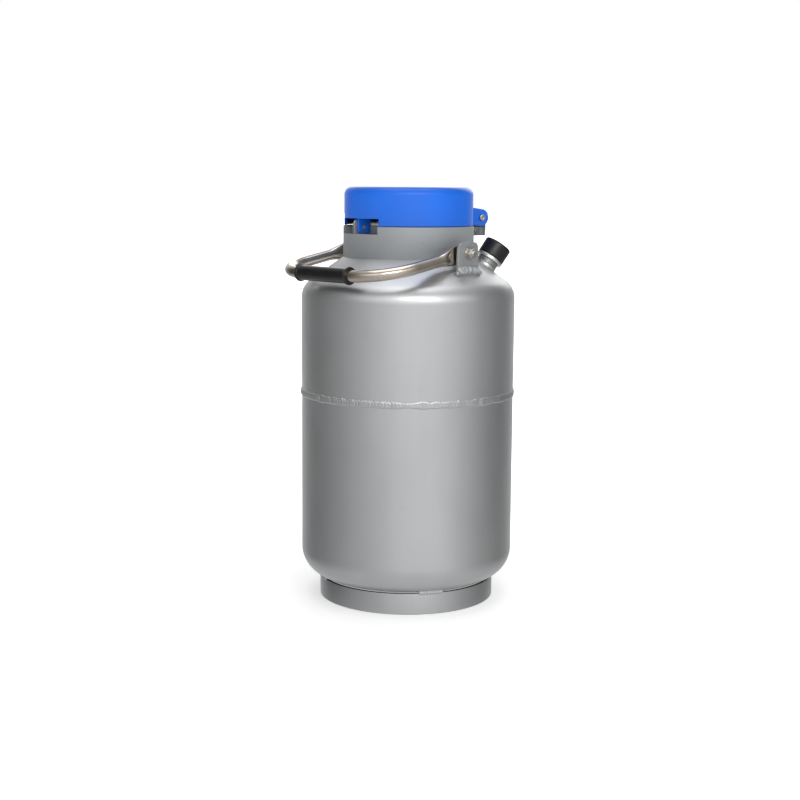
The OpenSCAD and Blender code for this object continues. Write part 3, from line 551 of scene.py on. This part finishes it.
for m_ in BM:
    v, f = ringmesh(fillet([(4.1, 118, 0.2), (8, 118, 0.3), (8, 119.5, 0.5), (4.1, 119.5, 0.2)], seg=3)); add(v, f, m_)
make("bail_washers", V, F, M["steel"], "vessel", None, 30, node="handle_washers")
V, F = [], []
for m_ in BM:
    v, f = hexprof(7.4, 119.5, 125.2, 0.8); add(v, f, m_)
    v, f = ringmesh(fillet([(4, 124.9, 0), (6.3, 124.9, 0.2), (6.0, 127.5, 1.0), (4, 127.5, 0.3)], seg=4)); add(v, f, m_)
make("bail_nuts", V, F, M["steel"], "vessel", None, 28, node="handle_nuts")

# ------------------------------------------------------------------ bail tube and grip
def bail_station():
    """Stations (centre, tangent turn, half thickness, half width, squareness) from one flattened eye to the middle."""
    st = []; E = 13.2; Y1 = -56.0
    for k in range(15):
        y = E * cos(rad(90 * k / 14)); hw = math.sqrt(max(0.05, E ** 2 - y ** 2))
        st.append((Vector((108.75, y, 0)), 0, 1.75, max(hw, 0.9), 4.5))
    for k in range(1, 5): st.append((Vector((108.75, -11.0 * k / 4, 0)), 0, 1.75, E, 4.5))
    for k in range(1, 25):
        t = k / 24; s_ = smoothstep(0, 1, t); y = -11 + (Y1 + 11) * t; thick = smoothstep(0, 1, min(1, t * 1.25))
        st.append((Vector((108.75 + (TUBE_X - 108.75) * thick, y, 0)), 0, 1.75 + 6.25 * thick ** 1.1, E - (E - 8) * s_, 4.5 - 2.5 * min(1, t * 1.2)))
    sy = BAIL_LEN - BEND
    for k in range(1, 7): st.append((Vector((TUBE_X, Y1 - (sy + Y1) * k / 6, 0)), 0, 8, 8, 2.0))
    for k in range(1, 31):
        a = rad(90 * k / 30); st.append((Vector((TUBE_X - BEND + BEND * cos(a), -sy - BEND * sin(a), 0)), 90 * k / 30, 8, 8, 2.0))
    for k in range(1, 7): st.append((Vector(((TUBE_X - BEND) * (1 - k / 6), -BAIL_LEN, 0)), 90, 8, 8, 2.0))
    return st
st = bail_station(); NC = 56
def ringpts(c, ang, ha, hb, nx, mir):
    side = Vector((cos(rad(ang)), -sin(rad(ang)), 0)); up = Vector((0, 0, 1)); out = []
    for k in range(NC):
        a = 2 * pi * k / NC; ca, sa = cos(a), sin(a); e = 2.0 / nx
        u = ha * math.copysign(abs(ca) ** e, ca); w = hb * math.copysign(abs(sa) ** e, sa)
        p = c + side * u + up * w; out.append(Vector((-p.x if mir else p.x, p.y, p.z)))
    return out
rings = [ringpts(c, ang, ha, hb, nx, False) for c, ang, ha, hb, nx in st]
back = [ringpts(c, ang, ha, hb, nx, True) for c, ang, ha, hb, nx in st[:-1]][::-1]
allr = rings + back
V = [p for r_ in allr for p in r_]; F = []
for j in range(len(allr) - 1):
    for k in range(NC): F.append((j * NC + k, j * NC + (k + 1) % NC, (j + 1) * NC + (k + 1) % NC, (j + 1) * NC + k))
F.append(tuple(range(NC))[::-1]); F.append(tuple(range((len(allr) - 1) * NC, len(allr) * NC)))
tube = make("bail_s", V, F, M["tube"], "handle", AT_BAIL, 50, node="handle_tube")
holes = [cylraw("bh%d" % i, 4.1, 95, 125, AT_BAIL @ ry(90 if i == 0 else -90), 48) for i in (0, 1)]
boolean(tube, holes); tube.name = "bail_tube"; dress(tube, M["tube"], "handle", 50)

GP = fillet([(8.02, -3.2, 0), (11.4, -3.2, 0.9), (12.15, -1.5, 0.9), (11.4, 1.0, 1.0), (10.3, 2.2, 1.4), (10.25, 50, 0), (10.3, 94.6, 1.4), (11.4, 95.8, 1.0), (12.15, 98.3, 0.9), (11.4, 100, 0.9), (8.02, 100, 0)], seg=5)
def gripd(a, r, z):
    if r < 9: return (0, 0)
    seam = 0.16 * math.exp(-((abs(((a + pi) % (2 * pi)) - pi) - pi / 2) * r / 0.5) ** 2)
    return (seam + 0.05 * noise.noise(Vector((cos(a) * 3, sin(a) * 3, z * 0.12))), 0)
# resample the long straight side so that its texture and seam can show
gp2 = []
for i, p in enumerate(GP):
    q = GP[(i + 1) % len(GP)]; gp2.append(p)
    d = math.dist(p, q); m_ = int(d // 5)
    for k in range(1, m_): gp2.append((p[0] + (q[0] - p[0]) * k / m_, p[1] + (q[1] - p[1]) * k / m_))
lathe("bail_grip", gp2, M["grip"], "handle", AT_BAIL @ tr(-50, -BAIL_LEN, 0) @ ry(90), seg=96, disp=gripd, node="handle_grip")

# ------------------------------------------------------------------ vacuum port
PBoss = fillet([(11, -6.5, 0), (16, -6.5, 0), (16, 6, 1.2), (11, 6, 0.3)], seg=4)
lathe("port_boss_c", PBoss, M["silver"], "vessel", AT_PORT, seg=96, node="port_boss")
def pbw(s):
    a = s / 16.6; d = Vector((cos(a), sin(a), 0))
    n_ = (d * 0.75 + Vector((0, 0, 0.66))).normalized()
    # the bead follows the meeting line of boss and shoulder
    p = d * 16.6
    w = AT_PORT @ p; r = math.hypot(w.x, w.y); dz = (cone_z(r) if r < T_R else 426.5 + math.sqrt(max(1, 900 - (r - 120) ** 2))) - w.z
    p = p + Vector((0, 0, dz * cos(rad(35)) + 0.3))
    M3 = AT_PORT.to_3x3()
    return AT_PORT @ p, M3 @ Vector((-sin(a), cos(a), 0)), M3 @ n_
v, f = weld("pw", (pbw, 2 * pi * 16.6), None, None, None, 5.6, 1.9, pitch=3.2, closed=True, seed=41, ns=230, nw=12, sink=1.0, amp=0.38)
make("port_boss_bead", v, f, M["silver_weld"], "vessel", None, 60, node="port_boss_weld")
pr = [(7.1, -6, 0), (11, -6, 0), (11, 6, 0), (14.2, 6, 0.3)]
for k in range(3):
    z = 6.3 + 2.1 * k; pr += [(14.4, z, 0.2), (15.7, z + 0.25, 0.35), (15.7, z + 1.25, 0.35), (14.4, z + 1.5, 0.2)]
pr += [(14.5, 12.6, 0.2), (14.5, 25, 0.8), (7.1, 25, 0.5)]
lathe("port_stem", fillet(pr, seg=3), M["cast"], "vessel", AT_PORT, seg=120, node="port_body")
lathe("port_collar", fillet([(14.6, 12.4, 0.2), (19.6, 12.4, 0.7), (19.8, 14.8, 0), (19.6, 17.2, 0.7), (14.6, 17.2, 0.2)], seg=4), M["bright"], "vessel", AT_PORT, seg=120, node="port_ring")
cp = fillet([(15, 17.6, 0.4), (19.6, 17.6, 0.7), (19.8, 20.5, 0), (19.8, 37.2, 0), (19.4, 39.8, 1.6), (0.02, 40.0, 0), (0.02, 36.5, 0), (15, 36.5, 0.8)], seg=5)
cp2 = []
for i, p in enumerate(cp):
    q = cp[(i + 1) % len(cp)]; cp2.append(p); d = math.dist(p, q); m_ = int(d // 3)
    for k in range(1, m_): cp2.append((p[0] + (q[0] - p[0]) * k / m_, p[1] + (q[1] - p[1]) * k / m_))
lathe("port_cover_cap", cp2, M["cap"], "port_cap", AT_PORT, seg=144, disp=lambda a, r, z: ((-0.10 * max(0, cos(a * 48)) if (r > 19.5 and 20 < z < 36) else 0), 0), node="port_cap")
vp = fillet([(0.02, -4, 0), (7, -4, 0.6), (7, 5, 0.2), (5.9, 5, 0.1), (5.9, 7.4, 0.1), (7, 7.4, 0.2), (7, 25.2, 0.1), (9.5, 25.2, 0.5), (9.5, 27.8, 0.8), (2.2, 27.8, 0.3), (2.2, 20, 0), (0.02, 20, 0)], closed=False, seg=4)
lathe("vacuum_stopper", vp, M["steel"], "vacuum_plug", AT_PORT, seg=72, node="vacuum_plug")
orp = [(6.45 + 0.6 * cos(2 * pi * k / 20), 6.2 + 1.1 * sin(2 * pi * k / 20)) for k in range(20)]
lathe("stopper_seal", orp, M["rubber"], "vacuum_plug", AT_PORT, seg=72, node="vacuum_plug_oring")

# ------------------------------------------------------------------ neck plug
pc = fillet([(0.02, 526.9, 0), (64.8, 526.9, 0.8), (66.0, 529.1, 1.0), (64.3, 531.3, 1.2), (24, 531.3, 2.0), (20, 533.5, 2.0), (20, 538.2, 1.4), (24.6, 539.2, 1.4), (25.1, 541, 1.2), (24.0, 543.4, 1.6), (18, 545.6, 3), (0.02, 545.7, 0)], closed=False, seg=5)
lathe("plug_cover", pc, M["white"], "neck_plug", seg=120, disp=lambda a, r, z: ((-0.5 * max(0, cos(a * 24)) if (r > 23.5 and 537 < z < 544) else 0), 0), node="plug_cap", axis_closed=False)
def foamd(a, r, z):
    if r < 5: return (0, 0)
    g = 0.0
    for k in range(4):
        da = (a - rad(45 + 90 * k) + pi) % (2 * pi) - pi
        y = abs(da) * 52.6
        if y < 2.6: g = max(g, math.sqrt(2.6 ** 2 - y ** 2) - 0.8)
    g = max(g, 0) * (1 if z < 520 else 0)
    return (-g * smoothstep(45, 52, r) + 0.12 * noise.noise(Vector((cos(a) * 20, sin(a) * 20, z * 0.3))) - 0.12, 0)
pcr = [(0.02, 402), (44, 402), (50, 402.4), (52.0, 404)] + [(52.6, 406 + (526.8 - 406) * k / 24) for k in range(25)] + [(0.02, 526.85)]
lathe("plug_foam_core", pcr, M["foam"], "neck_plug", seg=360, disp=foamd, node="plug_core", axis_closed=False)

# ------------------------------------------------------------------ CAD nodes that stay: better materials
for name, mat in (("seam_backing_ring", "alu"), ("inner_vessel_lower", "alu"), ("inner_vessel_upper", "alu"), ("inner_seam_weld", "alu"),
                  ("insulation_wrap", "wrap"), ("adsorbent_pouch", "foam"), ("neck_tube", "fibre"), ("neck_flange", "alu"),
                  ("collar_screws", "steel"), ("hinge_block_screws", "steel")):
    o = nodes[name]; o.data.materials.clear(); o.data.materials.append(M[mat])

# ------------------------------------------------------------------ stage, light and camera
def stage_plane(name, size, mat, loc=(0, 0, 0), rot=(0, 0, 0)):
    me = bpy.data.meshes.new(name); s = size
    me.from_pydata([(-s, -s, 0), (s, -s, 0), (s, s, 0), (-s, s, 0)], [], [(0, 1, 2, 3)])
    o = bpy.data.objects.new(name, me); bpy.context.scene.collection.objects.link(o)
    o.location = loc; o.rotation_euler = rot; me.materials.append(mat); return o
fl = NT("floor_m")
fl.link(fl.mix(fl.rng(fl.noise(1.5, 3, 0.5), 0.3, 0.7, 0, 1), (0.86, 0.86, 0.865), (0.88, 0.88, 0.88)), fl.p.inputs["Base Color"])
fl.set(Roughness=0.6, Specular_IOR_Level=0.2)
# painted light: the floor glows, from 0.36 near the vessel's axis up to 1.3 a metre out, whitening it into the backdrop
# while the contact shadow near the foot stays
ln = fl.n("ShaderNodeVectorMath", operation='LENGTH'); fl.link(fl.co, ln.inputs[0])
fl.link(fl.rng(ln.outputs["Value"], 0.2, 1.0, 0.36, 1.3), fl.p.inputs["Emission Strength"])
fl.set(Emission_Color=(1.0, 1.0, 1.0))
floor = stage_plane("floor", 30, fl.m)
floor.visible_glossy = False

w = bpy.data.worlds.new("studio"); bpy.context.scene.world = w; w.use_nodes = True
nt = w.node_tree; nt.nodes.clear()
def N(k, **kw):
    nd = nt.nodes.new(k)
    for a, b in kw.items(): setattr(nd, a, b)
    return nd
out = N("ShaderNodeOutputWorld"); tc = N("ShaderNodeTexCoord"); sep = N("ShaderNodeSeparateXYZ")
nt.links.new(tc.outputs["Generated"], sep.inputs[0])
def wm(op, a, b=0.0):
    nd = N("ShaderNodeMath", operation=op)
    for i, v_ in ((0, a), (1, b)):
        if hasattr(v_, "is_linked"): nt.links.new(v_, nd.inputs[i])
        else: nd.inputs[i].default_value = v_
    return nd.outputs[0]
x_, y_, z_ = sep.outputs
# brightness by direction: bright in front and behind, dark strips at the back corners, a softbox band above the front
psi = wm('ADD', wm('DIVIDE', wm('ARCTAN2', x_, wm('MULTIPLY', y_, -1.0)), 2 * pi), 0.5)
def ramp(fac, stops, lo, hi):
    rp = N("ShaderNodeValToRGB"); cr = rp.color_ramp; cr.interpolation = 'LINEAR'
    while len(cr.elements) < len(stops): cr.elements.new(0.5)
    for el, (q, v_) in zip(cr.elements, stops): el.position = (q - lo) / (hi - lo); el.color = (v_, v_, v_, 1)
    nt.links.new(fac, rp.inputs[0]); return rp.outputs[0]
AZ = [(-180, 1.0), (-158, .72), (-138, .26), (-118, .07), (-97, .13), (-73, .27), (-40, .50), (-10, .80), (12, .90), (38, .82), (73, .40), (97, .18), (122, .08), (146, .36), (164, .80), (180, 1.0)]
base = ramp(psi, AZ, -180, 180)
front = ramp(psi, [(-180, 0), (-75, 0), (-36, .92), (-22, .92), (-5, .62), (12, 1), (40, .95), (85, 0), (180, 0)], -180, 180)
zz = wm('ADD', wm('MULTIPLY', z_, 0.5), 0.5)
band = ramp(zz, [(-1, 0), (.14, 0), (.34, 1), (.47, 1), (.66, .0), (1, 0)], -1, 1)
zen = ramp(zz, [(-1, .85), (-.62, .80), (-.20, 0), (.50, 0), (.66, .55), (.86, 1), (1, 1)], -1, 1)
zval = ramp(zz, [(-1, .62), (-.1, .62), (.5, .5), (.72, .50), (.92, .80), (1, .84)], -1, 1)
mixz = N("ShaderNodeMix", data_type='RGBA'); nt.links.new(zen, mixz.inputs[0]); nt.links.new(base, mixz.inputs[6]); nt.links.new(zval, mixz.inputs[7])
add = N("ShaderNodeMix", data_type='RGBA', blend_type='ADD'); add.inputs[0].default_value = 1.0
nt.links.new(mixz.outputs[2], add.inputs[6])
bf = N("ShaderNodeMix", data_type='RGBA', blend_type='MULTIPLY'); bf.inputs[0].default_value = 1.0
nt.links.new(band, bf.inputs[6]); nt.links.new(front, bf.inputs[7])
nt.links.new(bf.outputs[2], add.inputs[7]); mixr = add
lp = N("ShaderNodeLightPath")
bg_g = N("ShaderNodeBackground"); nt.links.new(mixr.outputs[2], bg_g.inputs[0]); bg_g.inputs[1].default_value = 1.0
dm = N("ShaderNodeMix", data_type='RGBA'); dm.inputs[0].default_value = 0.72; dm.inputs[6].default_value = (0.62, 0.62, 0.62, 1); nt.links.new(mixr.outputs[2], dm.inputs[7])
bg_d = N("ShaderNodeBackground"); nt.links.new(dm.outputs[2], bg_d.inputs[0]); bg_d.inputs[1].default_value = 0.95
bg_c = N("ShaderNodeBackground"); bg_c.inputs[0].default_value = (1, 1, 1, 1); bg_c.inputs[1].default_value = 1.0
m1 = N("ShaderNodeMixShader"); nt.links.new(lp.outputs["Is Glossy Ray"], m1.inputs[0]); nt.links.new(bg_d.outputs[0], m1.inputs[1]); nt.links.new(bg_g.outputs[0], m1.inputs[2])
m2 = N("ShaderNodeMixShader"); nt.links.new(lp.outputs["Is Camera Ray"], m2.inputs[0]); nt.links.new(m1.outputs[0], m2.inputs[1]); nt.links.new(bg_c.outputs[0], m2.inputs[2])
nt.links.new(m2.outputs[0], out.inputs[0])

def area(name, loc, target, sx, sy, power, col=(1, 1, 1), spec=1.0):
    l = bpy.data.lights.new(name, 'AREA'); l.shape = 'RECTANGLE'; l.size = sx; l.size_y = sy; l.energy = power; l.color = col; l.specular_factor = spec
    o = bpy.data.objects.new(name, l); bpy.context.scene.collection.objects.link(o)
    o.location = loc; o.rotation_euler = (Vector(target) - Vector(loc)).to_track_quat('-Z', 'Y').to_euler(); return o
area("key", (0.45, -2.2, 1.55), (0, 0, 0.35), 1.7, 0.7, 12, spec=0.6)
area("top", (0.0, -0.1, 2.3), (0, 0, 0.3), 1.6, 1.6, 10, spec=0.3)
area("back", (0.4, 2.2, 1.4), (0, 0, 0.3), 2.0, 1.2, 8, spec=0.4)

cam = bpy.data.cameras.new("cam"); cam.sensor_width = 36; cam.lens = 65.4; cam.clip_end = 60
co = bpy.data.objects.new("cam", cam); bpy.context.scene.collection.objects.link(co); bpy.context.scene.camera = co
pitch, yawc, roll = rad(8.358), rad(0.29), rad(0.40)
fw = Vector((-sin(yawc) * cos(pitch), cos(yawc) * cos(pitch), -sin(pitch)))
rt = fw.cross(Vector((0, 0, 1))).normalized(); upv = rt.cross(fw)
rt2 = rt * cos(roll) + upv * sin(roll); up2 = upv * cos(roll) - rt * sin(roll)
mw = Matrix(((rt2.x, up2.x, -fw.x, 0), (rt2.y, up2.y, -fw.y, -2.05), (rt2.z, up2.z, -fw.z, 0.5806), (0, 0, 0, 1)))
co.matrix_world = mw
cam.dof.use_dof = False
vs = bpy.context.scene.view_settings; vs.view_transform = 'Standard'; vs.look = 'None'; vs.exposure = 0.0; vs.gamma = 1.0
